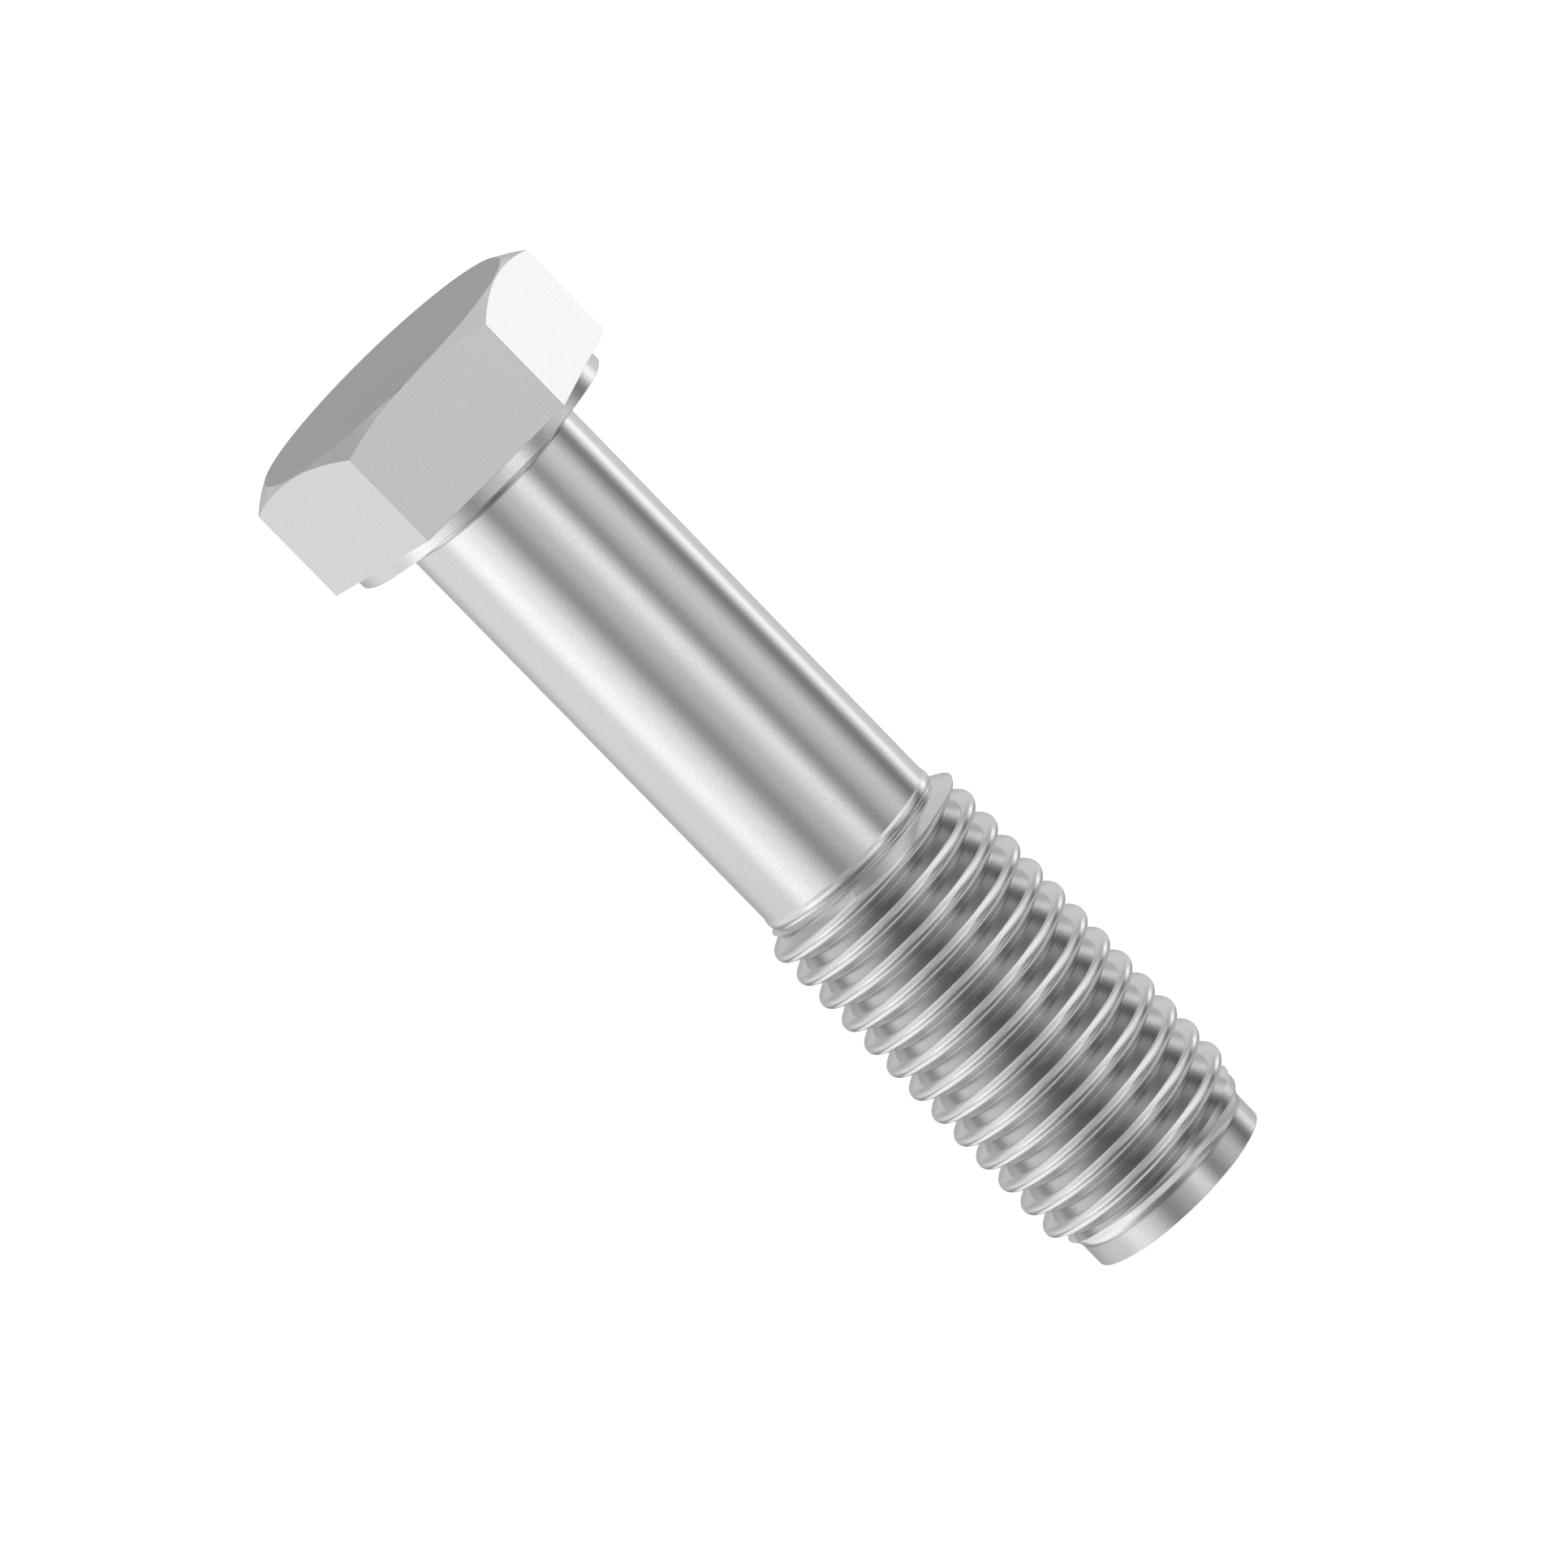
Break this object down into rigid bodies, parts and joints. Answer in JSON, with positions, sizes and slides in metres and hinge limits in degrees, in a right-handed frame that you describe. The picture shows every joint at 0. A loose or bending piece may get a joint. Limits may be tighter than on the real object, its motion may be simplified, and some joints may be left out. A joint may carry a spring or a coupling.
{
  "type": "hex bolt",
  "caption": "Partly threaded hexagon head bolt with a washer face, a plain shank and a plain stub at the tip, for clamping parts through clearance holes.",
  "frame": {"origin": "centre of the bearing face under the head, on the bolt's axis", "axes": "+Z along the axis out of the top of the head, the shank runs down along -Z, and two of the head's flats face -Y and +Y"},
  "size_m": [0.0208, 0.018, 0.064],
  "materials": {
    "hex_bolt": "satin, bright and uncoated"
  },
  "bodies": {
    "root": {"hex_bolt": "hex_bolt"}
  },
  "joints": []
}
